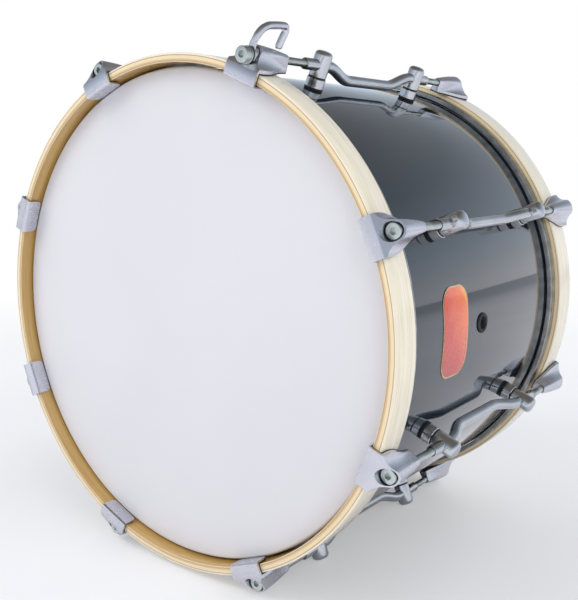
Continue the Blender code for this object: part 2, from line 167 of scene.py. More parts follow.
# Lugs
POST_SPACING = 0.150
POST_RADIUS = 0.0074
COLLAR_RADIUS = 0.0078
GASKET_HEIGHT = 0.0014
COLLAR_HEIGHT = 0.0092
SEAL_HEIGHT = 0.0011
POST_OVERHANG = 0.0118
CAP_HEIGHT = 0.0032
CAP_FLAT_RADIUS = 0.0034
CAP_EASE = 0.0002
LUG_EASE = 0.0004
TUBE_RADIUS = 0.0046
TUBE_LENGTH = 0.194
TUBE_DROP = 0.0095
TUBE_FLAT_LENGTH = 0.060
TUBE_EASE = 0.0006
MOUTH_BORE = SHANK_RADIUS + 0.0005
MOUTH_DEPTH = 0.006
MOUTH_FLARE = 0.0004
BEND_CLEAR = 0.0015
BEND_START = POST_SPACING / 2 - POST_RADIUS - BEND_CLEAR
BEND_STEPS = 24

# Screws that hold the lug posts from inside the shell
SCREW_HEAD_TOP = 0.0048
SCREW_HEAD_RADIUS = 0.0044
SCREW_WASHER_TOP = 0.0016
SCREW_WASHER_RADIUS = 0.0075
SCREW_EASE = 0.0002

# Carry hook: a strap at the eye that turns into a round bar, and the washer that covers it
HOOK_RADIUS = 0.0028
STRAP_DEPTH = 0.0012
STRAP_WIDTH = 0.0034
COVER_THICKNESS = 0.0014
COVER_EASE = 0.0003
HOOK_EYE_RADIUS = 0.0064
HOOK_EYE_THICKNESS = 0.0103
HOOK_EYE_EASE = 0.0004
HOOK_HEIGHT = 0.0235
HOOK_LENGTH = 0.031
HOOK_RISE = 0.0015
HOOK_LEAN = 0.0022
HOOK_TIP_GAP = 0.0012
HOOK_LIFT = HOOK_EYE_THICKNESS + COVER_THICKNESS + 2 * FIT

# Vent and label on the shell, half way between two columns
VENT_Y = -0.011
VENT_BORE = 0.005
VENT_HOLE = VENT_BORE + 0.0013
VENT_WALL = 0.0012
VENT_FLANGE = 0.0085
VENT_INNER_FLANGE = 0.001
VENT_EASE = 0.0006
LABEL_Y = -0.058
LABEL_LENGTH = 0.0725
LABEL_WIDTH = 0.041
LABEL_THICKNESS = 0.0005
LABEL_CORNER = 0.014
LABEL_RIM = 0.0012
LABEL_STEP = 0.003

# Camera, from the perspective of the photographed hoops
CAMERA_FROM_HOOP = Vector((0.4889, -0.4727, 0.1336))
CAMERA_LOOK = Vector((-0.604, 0.779, -0.169))
CAMERA_LENS = 50.09
CAMERA_SENSOR = 36.0

# Light: even light from the room, and what shiny surfaces see from the horizon up
SOFT_LIGHT = (0.60, 0.62, 0.66)
ROOM_TONES = [(0.0, (0.95, 0.96, 1.0)), (0.18, (0.62, 0.72, 0.84)), (0.45, (0.30, 0.33, 0.37)),
              (0.75, (0.20, 0.18, 0.16)), (1.0, (0.16, 0.14, 0.12))]

# Floor: half its size, the distances over which it fades to white, and the glow it starts with
FLOOR_HALF = 6.0
FLOOR_WHITE_FROM = 0.45
FLOOR_WHITE_TO = 1.6
FLOOR_GLOW = 0.35

# Lamps, all turned to the drum's middle: name, place, width and height, power
LAMPS = [("key", (-1.4, -1.6, 2.0), (1.6, 1.6), 38),
         ("fill", (2.0, -1.0, 1.2), (1.2, 1.6), 16),
         ("back", (1.0, 2.0, 1.8), (1.6, 1.2), 18)]


def fill_ramp(ramp, stops):
    """Set a colour ramp's stops from (position, colour) pairs."""
    while len(ramp.elements) < len(stops):
        ramp.elements.new(0.5)
    for element, (position, colour) in zip(ramp.elements, stops):
        element.position = position
        element.color = (*colour, 1.0)


class Look:
    """A Principled material, with short calls for the nodes that drive it."""

    def __init__(self, name, roughness, metallic=0.0, **sockets):
        self.material = bpy.data.materials.new(name)
        self.material.use_nodes = True
        self.tree = self.material.node_tree
        self.shader = self.tree.nodes["Principled BSDF"]
        self.shader.inputs["Roughness"].default_value = roughness
        self.shader.inputs["Metallic"].default_value = metallic
        for socket, value in sockets.items():
            self.shader.inputs[socket.replace("_", " ")].default_value = value

    def node(self, kind, **settings):
        made = self.tree.nodes.new("ShaderNode" + kind)
        for name, value in settings.items():
            setattr(made, name, value)
        return made

    def link(self, output, target):
        self.tree.links.new(output, target)

    def place(self):
        return self.node("TexCoord").outputs["Object"]

    def maths(self, operation, first, second=None):
        made = self.node("Math", operation=operation)
        for socket, value in zip(made.inputs, (first, second)):
            if isinstance(value, (int, float)):
                socket.default_value = value
            elif value is not None:
                self.link(value, socket)
        return made.outputs[0]

    def polar(self, along, around, out):
        """Scaled place about the Y axis (way round, way along, radius), and the bare radius."""
        apart = self.node("SeparateXYZ")
        self.link(self.place(), apart.inputs[0])
        x, y, z = apart.outputs
        radius = self.maths("SQRT", self.maths("ADD", self.maths("MULTIPLY", x, x),
                                               self.maths("MULTIPLY", z, z)))
        turn = self.maths("ARCTAN2", x, z)
        joined = self.node("CombineXYZ")
        self.link(self.maths("MULTIPLY", turn, around * HOOP_R), joined.inputs[0])
        self.link(self.maths("MULTIPLY", y, along), joined.inputs[1])
        self.link(self.maths("MULTIPLY", radius, out), joined.inputs[2])
        return joined.outputs[0], radius

    def noise(self, scale, detail=3.0, vector=None, distortion=0.0):
        made = self.node("TexNoise")
        made.inputs["Scale"].default_value = scale
        made.inputs["Detail"].default_value = detail
        made.inputs["Distortion"].default_value = distortion
        self.link(vector or self.place(), made.inputs["Vector"])
        return made.outputs["Fac"]

    def ramp(self, value, stops, sharp=False):
        made = self.node("ValToRGB")
        made.color_ramp.interpolation = "CONSTANT" if sharp else "LINEAR"
        fill_ramp(made.color_ramp, stops)
        self.link(value, made.inputs[0])
        return made.outputs[0]

    def blend(self, share, first, second, mode="MIX"):
        made = self.node("Mix", data_type="RGBA", blend_type=mode)
        for socket, value in ((made.inputs[0], share), (made.inputs[6], first),
                              (made.inputs[7], second)):
            if isinstance(value, tuple):
                socket.default_value = (*value, 1.0)
            elif isinstance(value, (int, float)):
                socket.default_value = value
            else:
                self.link(value, socket)
        return made.outputs[2]

    def colour(self, output):
        self.link(output, self.shader.inputs["Base Color"])

    def roughness(self, value, low, high):
        made = self.node("MapRange")
        made.inputs["To Min"].default_value = low
        made.inputs["To Max"].default_value = high
        self.link(value, made.inputs["Value"])
        self.link(made.outputs[0], self.shader.inputs["Roughness"])

    def bump(self, height, strength, distance=0.0002):
        made = self.node("Bump")
        made.inputs["Strength"].default_value = strength
        made.inputs["Distance"].default_value = distance
        self.link(height, made.inputs["Height"])
        self.link(made.outputs[0], self.shader.inputs["Normal"])


def lacquer_look():
    look = Look("gloss_black_lacquer", 0.05, Coat_Weight=1.0, Coat_Roughness=0.03)
    cloud = look.noise(6.0, 2.0)
    look.colour(look.ramp(cloud, [(0.3, (0.006, 0.010, 0.016)), (0.7, (0.012, 0.020, 0.032))]))
    look.roughness(look.noise(90.0), 0.04, 0.09)
    look.bump(look.noise(420.0, 2.0), 0.03, 0.0001)
    return look.material


def film_look():
    look = Look("coated_film", 0.42, Coat_Weight=0.15, Coat_Roughness=0.35)
    soft = look.noise(5.0, 4.0)
    look.colour(look.ramp(soft, [(0.3, (0.70, 0.69, 0.715)), (0.7, (0.74, 0.73, 0.75))]))
    look.roughness(look.noise(160.0), 0.36, 0.50)
    look.bump(look.noise(1400.0, 3.0), 0.12, 0.0001)
    return look.material


def grain(look, pale, deep):
    """Long straight grain that runs round the hoop, with a few darker growth lines."""
    vector, radius = look.polar(along=60.0, around=2.0, out=60.0)
    broad = look.noise(3.0, 5.0, vector, 0.6)
    fine = look.noise(14.0, 6.0, vector)
    tone = look.ramp(broad, [(0.3, pale), (0.75, deep)])
    line = look.ramp(fine, [(0.35, (0.86, 0.84, 0.80)), (0.62, (1.0, 1.0, 1.0))])
    return look.blend(0.8, tone, line, "MULTIPLY"), fine, radius


def maple_look(name, pale, deep):
    look = Look(name, 0.22, Coat_Weight=0.7, Coat_Roughness=0.08)
    tone, fine, _ = grain(look, pale, deep)
    look.colour(tone)
    look.roughness(fine, 0.16, 0.32)
    look.bump(fine, 0.10, 0.0001)
    return look.material


def ply_look():
    """End face of the hoop: pale plies with a brown band and a thin dark line, and a near-white
    painted highlight along the outer rounded corner.
    """
    look = Look("maple_ply_edge", 0.3, Coat_Weight=0.5, Coat_Roughness=0.12)
    tone, fine, radius = grain(look, (0.80, 0.66, 0.42), (0.68, 0.50, 0.27))
    across = look.maths("DIVIDE", look.maths("SUBTRACT", radius, HOOP_IN_R), HOOP_THICKNESS)
    # Painted highlight: the outermost stop, near white, lights the hoop's rounded outer corner.
    bands_and_highlight = look.ramp(across, [
        (0.0, (0.80, 0.62, 0.36)), (0.08, (0.36, 0.17, 0.07)), (0.22, (0.66, 0.44, 0.20)),
        (0.36, (0.92, 0.78, 0.52)), (0.70, (0.30, 0.13, 0.06)), (0.80, (0.98, 0.92, 0.78))],
        sharp=True)
    look.colour(look.blend(0.45, bands_and_highlight, tone))
    look.roughness(fine, 0.24, 0.42)
    look.bump(fine, 0.15, 0.0001)
    return look.material


def metal_look(name, colour, low, high, wear):
    """Plated or bare metal with cloudy roughness and faint handling marks."""
    look = Look(name, (low + high) / 2, 1.0)
    cloud = look.noise(45.0, 4.0)
    worn = tuple(channel * (1 - 3 * wear) for channel in colour)
    look.colour(look.ramp(cloud, [(0.35, worn), (0.6, colour)]))
    look.roughness(look.noise(220.0, 5.0), low, high)
    look.bump(look.noise(900.0, 3.0), 0.05, 0.00005)
    return look.material


def alloy_look():
    """Rolled aluminium: streaks that run round the ring, and grey mottling."""
    look = Look("rolled_aluminium", 0.35, 1.0)
    vector, _ = look.polar(along=500.0, around=12.0, out=500.0)
    streak = look.noise(6.0, 5.0, vector)
    mottle = look.noise(120.0, 6.0)
    tone = look.ramp(mottle, [(0.35, (0.38, 0.39, 0.38)), (0.65, (0.62, 0.63, 0.62))])
    look.colour(look.blend(0.5, tone, look.ramp(streak, [(0.3, (0.5, 0.5, 0.5)),
                                                         (0.7, (1.0, 1.0, 1.0))]), "MULTIPLY"))
    look.roughness(streak, 0.25, 0.5)
    look.bump(streak, 0.15, 0.0001)
    return look.material


def rubber_look():
    look = Look("black_rubber_fine", 0.6)
    look.colour(look.ramp(look.noise(180.0, 4.0), [(0.3, (0.010, 0.010, 0.011)),
                                                   (0.7, (0.026, 0.027, 0.028))]))
    look.roughness(look.noise(400.0), 0.5, 0.72)
    look.bump(look.noise(1800.0, 3.0), 0.2, 0.0001)
    return look.material


def label_look():
    """Plain red label: a painted orange sheen toward its upper rear side, broken by a noise swirl,
    fine metallic grain, no words.
    """
    look = Look("red_label", 0.25, Coat_Weight=1.0, Coat_Roughness=0.06)
    apart = look.node("SeparateXYZ")
    look.link(look.place(), apart.inputs[0])
    # Painted sheen: dark red brightening to orange toward the label's upper rear, with a noise swirl
    # through it.
    rise = look.maths("ADD", look.maths("MULTIPLY", apart.outputs[1], 9.0),
                      look.maths("MULTIPLY", apart.outputs[2], 6.0))
    sheen_and_swirl = look.maths("ADD", look.maths("ADD", rise, 0.5),
                       look.maths("MULTIPLY", look.noise(28.0, 2.0, distortion=1.2), 0.35))
    look.colour(look.ramp(sheen_and_swirl, [(0.25, (0.42, 0.012, 0.010)), (0.60, (0.62, 0.030, 0.012)),
                                  (0.90, (0.86, 0.16, 0.020)), (1.0, (0.95, 0.36, 0.05))]))
    look.roughness(look.noise(500.0), 0.2, 0.34)
    return look.material


def lathe(profile, steps, closed=True, finishes=None):
    """Spin (along, radius) pairs about Y. finishes gives a material index for each span."""
    bm = bmesh.new()
    count = len(profile)
    spans = count if closed else count - 1
    rings = []
    for along, radius in profile:
        if radius < 1e-9:
            rings.append([bm.verts.new((0, along, 0))] * steps)
            continue
        rings.append([bm.verts.new((radius * math.cos(math.tau * k / steps), along,
                                    radius * math.sin(math.tau * k / steps)))
                      for k in range(steps)])
    for i in range(spans):
        near, far = rings[i], rings[(i + 1) % count]
        for k in range(steps):
            corners = [near[k], near[(k + 1) % steps], far[(k + 1) % steps], far[k]]
            face = bm.faces.new(list(dict.fromkeys(corners)))
            face.material_index = finishes[i] if finishes else 0
    return bm


def loft(sections, capped=True):
    bm = bmesh.new()
    rings = [[bm.verts.new(point) for point in section] for section in sections]
    count = len(rings[0])
    for near, far in zip(rings, rings[1:]):
        for i in range(count):
            j = (i + 1) % count
            bm.faces.new((near[i], near[j], far[j], far[i]))
    if capped:
        bm.faces.new(rings[0])
        bm.faces.new(rings[-1])
    return bm


def oval(x, y, lean, depth, width, sides):
    """Points of an oval that stands square to a path with this lean in the XY plane."""
    return [(x - depth * math.cos(t) * math.sin(lean), y + depth * math.cos(t) * math.cos(lean),
             width * math.sin(t)) for t in (math.tau * k / sides for k in range(sides))]


def lean_at(path, i):
    """Direction of a path at its point i, from its neighbours."""
    ahead = path[min(i + 1, len(path) - 1)]
    behind = path[max(i - 1, 0)]
    return math.atan2(ahead[1] - behind[1], ahead[0] - behind[0])


def sweep(path):
    """Run an oval along a path in the XY plane: path holds (x, y, depth in plane, width)."""
    return loft([oval(x, y, lean_at(path, i), depth, width, ROUND // 2)
                 for i, (x, y, depth, width) in enumerate(path)])


def smooth_path(points, steps=5):
    """Catmull-Rom points through a path of equal-length tuples."""
    made = []
    for i in range(len(points) - 1):
        four = [points[max(i - 1, 0)], points[i], points[i + 1],
                points[min(i + 2, len(points) - 1)]]
        for k in range(steps):
            t = k / steps
            made.append(tuple(0.5 * (2 * b + (c - a) * t + (2 * a - 5 * b + 4 * c - d) * t * t
                                     + (3 * b - a - 3 * c + d) * t ** 3)
                              for a, b, c, d in zip(*four)))
    made.append(points[-1])
    return made


def mesh_of(bm, name):
    bmesh.ops.recalc_face_normals(bm, faces=bm.faces)
    mesh = bpy.data.meshes.new(name)
    bm.to_mesh(mesh)
    bm.free()
    return mesh


def combine(body, tool, operation):
    """Boolean two meshes with the exact solver. The tool's mesh stays for further use."""
    holder = bpy.data.objects.new("holder", body)
    other = bpy.data.objects.new("tool", tool)
    for thing in (holder, other):
        bpy.context.collection.objects.link(thing)
    step = holder.modifiers.new(operation.title(), "BOOLEAN")
    step.operation = operation
    step.solver = "EXACT"
    step.object = other
    graph = bpy.context.evaluated_depsgraph_get()
    result = bpy.data.meshes.new_from_object(holder.evaluated_get(graph))
    bpy.data.objects.remove(holder)
    bpy.data.objects.remove(other)
    return result


def pin(radius, start, end, steps=ROUND, about="Y"):
    bm = lathe([(start, 0), (start, radius), (end, radius), (end, 0)], steps, closed=False)
    if about == "X":
        bm.transform(UPRIGHT)
    return mesh_of(bm, "pin")


def ring_profile(start, end, bore, radius, ease):
    """A flat ring's profile with its outer corners taken off."""
    return [(start, bore), (start, radius - ease), (start + ease, radius), (end - ease, radius),
            (end, radius - ease), (end, bore)]


def put(name, mesh, looks, nodes=(), body="drum", location=(0, 0, 0), rotation=(0, 0, 0),
        soften=0.0):
    """Place a fine piece in the drum's axes, let it ride, and hide the imported parts it stands for.

    A mesh that several pieces share is dressed once, and each piece gets its own turned copy, so
    that the measured bounds are exact.
    """
    if not any(mesh.materials):
        while mesh.materials:
            mesh.materials.pop()
        for look in looks:
            mesh.materials.append(look)
        mesh.shade_smooth()
        mesh.set_sharp_from_angle(angle=SHARP_ANGLE)
    mesh = mesh.copy()
    mesh.transform(Euler(rotation).to_matrix().to_4x4())
    piece = bpy.data.objects.new(name, mesh)
    bpy.context.collection.objects.link(piece)
    piece.location = CENTRE + Vector(location)
    if soften:
        round_over = piece.modifiers.new("Soften", "BEVEL")
        round_over.width = soften
        round_over.segments = 2
        round_over.limit_method = "ANGLE"
        round_over.angle_limit = BEVEL_ANGLE
    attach(piece, body)
    if nodes:
        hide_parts(*nodes)
    return piece


def column(index, end=0, lift=0.0):
    """Location and rotation of a rod-axis piece: end is -1 front, 1 rear, 0 the lug's middle."""
    angle = math.tau / COLUMNS * (index - 0.5)
    location = (ROD_R * math.cos(angle), end * (HALF_LENGTH + lift), ROD_R * math.sin(angle))
    return location, (math.pi if end > 0 else 0, -angle, 0)


def arc(centre, radius, start, end, steps):
    """Points (along, radius) on a quarter or half round, angles in degrees from the Y axis."""
    return [(centre[0] + radius * math.cos(math.radians(start + (end - start) * k / steps)),
             centre[1] + radius * math.sin(math.radians(start + (end - start) * k / steps)))
            for k in range(steps + 1)]


def make_shell(lacquer):
    """Plain tube with rounded bearing edges that slope down inside, and the vent's hole."""
    half = [(EDGE_Y - EDGE_SLOPE, SHELL_R - SHELL_WALL)] + arc(EDGE_CREST, EDGE_ROUND, 0, 90, 8)
    profile = half + [(-y, radius) for y, radius in reversed(half)]
    body = mesh_of(lathe(profile, RING), "shell_fine")
    drill = pin(VENT_HOLE, SHELL_R / 2, 1.5 * SHELL_R, ROUND, "X")
    drill.transform(Matrix.Translation((0, VENT_Y, 0)))
    put("shell_fine", combine(body, drill, "DIFFERENCE"), [lacquer], ["shell"])


def make_heads(film):
    """Flat film turned down over the bearing edge into the flesh hoop."""
    along, across = EDGE_CREST
    outer = EDGE_ROUND + FIT + FILM
    inner = EDGE_ROUND + FIT
    low = FLESH_TOP - FILM_TUCK
    rings = [(along + outer, across * share) for share in (0, 0.25, 0.5, 0.75, 0.95)]
    profile = rings + arc(EDGE_CREST, outer, 0, 90, 8) + [(low, across + outer)]
    profile += [(low, across + inner)] + list(reversed(arc(EDGE_CREST, inner, 0, 90, 8)))
    profile += [(along + inner, 0)]
    for word, turn in TURNS:
        mesh = mesh_of(lathe(profile, RING, closed=False), "film")
        put(word + "_film", mesh, [film], [word + "_head"], rotation=(turn, 0, 0))


def make_flesh_hoops(alloy, rubber):
    """Rolled channel with rounded corners and a dark seam line where the film tucks in."""
    inner = SHELL_R + 2 * FIT + FILM + HAIR
    ease = FLESH_EASE
    profile = [(FLESH_TOP, inner)] + arc((FLESH_TOP - ease, FLESH_R - ease), ease, 0, 90, 5)
    profile += arc((FLESH_LOW + ease, FLESH_R - ease), ease, 90, 180, 5) + [(FLESH_LOW, inner)]
    for word, turn in TURNS:
        put(word + "_channel", mesh_of(lathe(profile, RING), "channel"), [alloy],
            [word + "_flesh_hoop"], rotation=(turn, 0, 0))
    low = FLESH_R - SEAM_DEPTH
    high = low + SEAM_HEIGHT
    for word, end in ENDS:
        y = end * (FLESH_LOW + SEAM_PLACE)
        ring = [(y - SEAM_HALF_WIDTH, low), (y - SEAM_HALF_WIDTH, high),
                (y + SEAM_HALF_WIDTH, high), (y + SEAM_HALF_WIDTH, low)]
        put(word + "_seam", mesh_of(lathe(ring, RING), "seam"), [rubber])


def make_hoops(outer, inner, edge):
    """Bent wooden hoops: finish 0 is the outer face, 1 the inner wall, 2 the ply edges. Faces 0 and
    1 are the same maple in two tones: paler outside as painted light, deeper tan inside as painted
    shade.
    """
    front = HALF_LENGTH
    rear = HALF_LENGTH - HOOP_WIDTH
    ease = HOOP_EASE
    near = arc((front - ease, HOOP_R - ease), ease, 0, 90, 4)
    far = arc((rear + ease, HOOP_R - ease), ease, 90, 180, 4)
    profile = [(front, HOOP_IN_R + HOOP_INNER_EASE)] + near + far
    profile += [(rear, HOOP_IN_R), (front - HOOP_INNER_EASE, HOOP_IN_R)]
    finishes = [2] + [2, 2, 0, 0] + [0] + [0, 0, 2, 2] + [2, 1, 2]
    for word, turn in TURNS:
        mesh = mesh_of(lathe(profile, RING, finishes=finishes), "hoop")
        put(word + "_maple", mesh, [outer, inner, edge], [word + "_hoop"],
            rotation=(turn, 0, 0))


def share_along(y, start, end):
    """How far y lies from start to end, held between 0 and 1."""
    return min(max((y - start) / (end - start), 0), 1)


def boss_radius(y):
    """Radius of the claw's round boss, which tapers to a nose with an eased end."""
    share = share_along(y, SHOULDER_START, CLAW_LENGTH)
    radius = NOSE_RADIUS + (BOSS_RADIUS - NOSE_RADIUS) * (1 - share ** BOSS_TAPER)
    nose = min(max((y - CLAW_LENGTH + NOSE_EASE) / NOSE_EASE, 0), 1)
    return radius - NOSE_EASE * (1 - math.sqrt(1 - nose * nose))


def claw_half_width(y):
    """Half width of the claw's foot, which narrows from the lip to the boss."""
    share = share_along(y, SHOULDER_START, SHOULDER_END)
    flare = CLAW_WIDTH / 2 - BOSS_RADIUS
    return boss_radius(y) + flare * math.cos(share * math.pi / 2) ** 2


def claw_section(y):
    """Outline across the claw: foot, thin edge, concave sweep and round boss."""
    boss = boss_radius(y)
    width = claw_half_width(y)
    floor = LIP_FLOOR
    if y < LIP_FRONT + LIP_ROUND:
        sunk = (LIP_FRONT + LIP_ROUND - y) / LIP_ROUND
        floor += LIP_ROUND * (1 - math.sqrt(max(1 - sunk * sunk, 0)))
    edge = (BASE + CLAW_EDGE, width)
    tangent = (boss * math.sin(math.radians(BOSS_FROM)), boss * math.cos(math.radians(BOSS_FROM)))
    pull = (edge[0] + 0.15 * (tangent[0] - edge[0]), tangent[1] + 0.25 * (edge[1] - tangent[1]))
    half = [(floor, width), (BASE + 0.4 * CLAW_EDGE, width)]
    for k in range(9):
        t = k / 8
        half.append(tuple((1 - t) ** 2 * e + 2 * t * (1 - t) * p + t * t * g
                          for e, p, g in zip(edge, pull, tangent)))
    half += [(boss * math.sin(math.radians(turn)), boss * math.cos(math.radians(turn)))
             for turn in range(BOSS_FROM + 8, 90, 8)]
    outline = half + [(boss, 0)] + [(x, -z) for x, z in reversed(half)]
    return [(x, y, z) for x, z in outline]


def channel_cutter(grown):
    """Space under the claw and inside its lip, widened by the liner for the metal."""
    past = CLAW_LENGTH + SHELL_WALL
    under = LIP_FLOOR - SHELL_WALL
    face = -FIT - grown
    top = BASE + grown
    roof = LIP_ROOF - grown
    corners = [(face, top), (past, top), (past, under), (LIP_REACH, under), (LIP_REACH, roof),
               (face, roof)]
    spread = math.asin(0.8 * CLAW_WIDTH / HOOP_R)
    sections = []
    for k in range(2 * CHANNEL_STEPS + 1):
        turn = spread * (k / CHANNEL_STEPS - 1)
        sections.append([((x + ROD_R) * math.cos(turn) - ROD_R, y, (x + ROD_R) * math.sin(turn))
                         for y, x in corners])
    return mesh_of(loft(sections), "channel")


def lip_corner_cutter(side):
    """What rounds off one corner of the lip's inner leg."""
    half = CLAW_WIDTH / 2
    out = 2 * LIP_WALL
    centre = (LIP_REACH - LIP_CORNER, half - LIP_CORNER)
    curve = [(centre[0] + LIP_CORNER * math.cos(math.radians(turn)),
              centre[1] + LIP_CORNER * math.sin(math.radians(turn))) for turn in range(0, 91, 10)]
    outline = [(LIP_REACH + out, centre[1])] + curve + [(centre[0], half + out),
                                                       (LIP_REACH + out, half + out)]
    sections = [[(x, y, side * z) for y, z in outline]
                for x in (LIP_FLOOR - out, BASE - CLAW_LINER)]
    return mesh_of(loft(sections), "corner")


def claw_meshes():
    """The metal claw and the black rubber liner: the liner is real where the claw rests on the hoop,
    and past the hoop's back edge, along the underside to the nose, its thin dark edge is painted
    shade under the claw.
    """
    rounding = [LIP_FRONT + LIP_ROUND * share for share in (0, 0.08, 0.2, 0.4, 0.6, 0.8, 1)]
    span = CLAW_LENGTH - SHOULDER_START
    stations = rounding + [SHOULDER_START * 0.6, SHOULDER_START]
    stations += [SHOULDER_START + span * k / CLAW_STATIONS for k in range(1, CLAW_STATIONS)]
    stations += [CLAW_LENGTH - NOSE_EASE * share for share in (0.6, 0.3, 0.12, 0)]
    bm = loft([claw_section(y) for y in stations])
    cut = bmesh.ops.bisect_plane(bm, geom=bm.verts[:] + bm.edges[:] + bm.faces[:], dist=1e-7,
                                 plane_co=(RIDGE, LIP_FRONT, 0), plane_no=(FACE_SLOPE, -1, 0),
                                 clear_outer=True)
    rim = [item for item in cut["geom_cut"] if isinstance(item, bmesh.types.BMEdge)]
    bmesh.ops.holes_fill(bm, edges=rim)
    body = mesh_of(bm, "claw")
    for side in (-1, 1):
        body = combine(body, lip_corner_cutter(side), "DIFFERENCE")
    seat = pin(SEAT_RADIUS, LIP_FRONT - BOSS_RADIUS, SEAT_DEPTH)
    bore = pin(ROD_BORE, 0, CLAW_LENGTH + BOSS_RADIUS)
    body = combine(combine(body, seat, "DIFFERENCE"), bore, "DIFFERENCE")
    metal = combine(body, channel_cutter(CLAW_LINER), "DIFFERENCE")
    sleeve = combine(channel_cutter(CLAW_LINER), channel_cutter(0.0), "DIFFERENCE")
    liner_and_shade = combine(sleeve, body, "INTERSECT")
    return metal, liner_and_shade


def rod_meshes():
    """Socket screw with a threaded end, and its plain washer."""
    under = -WASHER_THICKNESS
    face = under - HEAD_HEIGHT
    low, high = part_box("rear_tension_rod_1")
    length = (high.y - low.y) - HEAD_HEIGHT - WASHER_THICKNESS
    thread = length - THREAD_LENGTH
    profile = [(face, 0), (face, HEAD_RADIUS - HEAD_CHAMFER)]
    profile += arc((face + HEAD_CHAMFER, HEAD_RADIUS - HEAD_CHAMFER), HEAD_CHAMFER, 180, 90, 4)
    profile += [(under - HEAD_EASE, HEAD_RADIUS), (under, HEAD_RADIUS - HEAD_EASE),
                (under, SHANK_RADIUS), (thread, SHANK_RADIUS)]
    turns = int(THREAD_LENGTH / THREAD_PITCH)
    for k in range(turns):
        start = thread + k * THREAD_PITCH
        profile += [(start + 0.35 * THREAD_PITCH, SHANK_RADIUS - THREAD_DEPTH),
                    (start + 0.65 * THREAD_PITCH, SHANK_RADIUS - THREAD_DEPTH),
                    (start + THREAD_PITCH * 0.9, SHANK_RADIUS), (start + THREAD_PITCH, SHANK_RADIUS)]
    profile += [(length, 0)]
    body = mesh_of(lathe(profile, ROUND, closed=False), "rod")
    socket = pin(SOCKET_RADIUS, face - SOCKET_DEPTH, face + SOCKET_DEPTH, 6)
    washer = ring_profile(under, 0, WASHER_BORE, WASHER_RADIUS, WASHER_EASE)
    return combine(body, socket, "DIFFERENCE"), mesh_of(lathe(washer, ROUND), "washer")


def saddle(bm, foot):
    """Bring the foot of a piece that stands along X down on the round shell."""
    for vert in bm.verts:
        if abs(vert.co.x - foot) < 1e-6:
            vert.co.x = math.sqrt((foot + ROD_R) ** 2 - vert.co.z ** 2) - ROD_R


def both_posts(name, profile, foot=None):
    """The same turned piece on both posts of a lug, in one mesh."""
    whole = bmesh.new()
    for side in (-1, 1):
        bm = lathe(profile, ROUND, closed=False)
        bm.transform(UPRIGHT)
        if foot is not None:
            saddle(bm, foot)
        bm.transform(Matrix.Translation((0, side * POST_SPACING / 2, 0)))
        part = mesh_of(bm, name)
        whole.from_mesh(part)
        bpy.data.meshes.remove(part)
    return mesh_of(whole, name)


def tube_path():
    """Straight through the posts, sunk towards the shell between them, chamfered mouths."""
    end = TUBE_FLAT_LENGTH / 2
    reach = TUBE_LENGTH / 2
    half = []
    for k in range(BEND_STEPS + 1):
        share = k / BEND_STEPS
        drop = TUBE_DROP * (0.5 - 0.5 * math.cos(math.pi * share))
        half.append((-drop, BEND_START + (end - BEND_START) * share, TUBE_RADIUS))
    mouth = [(0, reach - MOUTH_DEPTH, MOUTH_BORE), (0, reach - MOUTH_FLARE, MOUTH_BORE),
             (0, reach, MOUTH_BORE + MOUTH_FLARE), (0, reach, TUBE_RADIUS - TUBE_EASE),
             (0, reach - TUBE_EASE / 3, TUBE_RADIUS - TUBE_EASE / 3),
             (0, reach - TUBE_EASE, TUBE_RADIUS)]
    points = mouth + half
    return points + [(x, -y, radius) for x, y, radius in reversed(points)]


def tube_mesh():
    points = tube_path()
    sections = []
    for i, (x, y, radius) in enumerate(points):
        straight = abs(x) < 1e-9
        lean = -math.pi / 2 if straight else lean_at(points, i)
        sections.append(oval(x, y, lean, radius, radius, ROUND))
    return mesh_of(loft(sections, capped=False), "tube")


def lug_meshes():
    """Gaskets, collars, seal rings, post heads with domed caps, and the tube through them."""
    foot = SHELL_R + FIT - ROD_R
    groove = foot + COLLAR_HEIGHT
    head = groove + SEAL_HEIGHT
    ease = LUG_EASE
    base = foot + GASKET_HEIGHT
    gasket = [(foot, 0), (foot, COLLAR_RADIUS), (base, COLLAR_RADIUS), (base, 0)]
    collar = ring_profile(base, groove, 0, COLLAR_RADIUS, ease)
    seal = [(groove, 0), (groove, POST_RADIUS - ease),
            (groove + SEAL_HEIGHT / 2, POST_RADIUS - ease / 2), (head, POST_RADIUS - ease),
            (head, 0)]
    top = POST_OVERHANG
    brow = 0.5 * (POST_RADIUS + CAP_FLAT_RADIUS) + 0.15 * (POST_RADIUS - CAP_FLAT_RADIUS)
    post = [(head, 0), (head, POST_RADIUS - ease), (head + ease, POST_RADIUS),
            (top - CAP_HEIGHT - CAP_EASE, POST_RADIUS),
            (top - 0.8 * CAP_HEIGHT, POST_RADIUS - CAP_EASE),
            (top - 0.3 * CAP_HEIGHT, brow), (top - 0.12 * CAP_HEIGHT, 0.75 * brow),
            (top, 0.55 * CAP_FLAT_RADIUS), (top, 0)]
    return [("gaskets", both_posts("gaskets", gasket, foot), "black_rubber"),
            ("collars", both_posts("collars", collar), "chrome"),
            ("seals", both_posts("seals", seal), "black_rubber"),
            ("posts", both_posts("posts", post), "chrome"),
            ("tube", tube_mesh(), "chrome")]


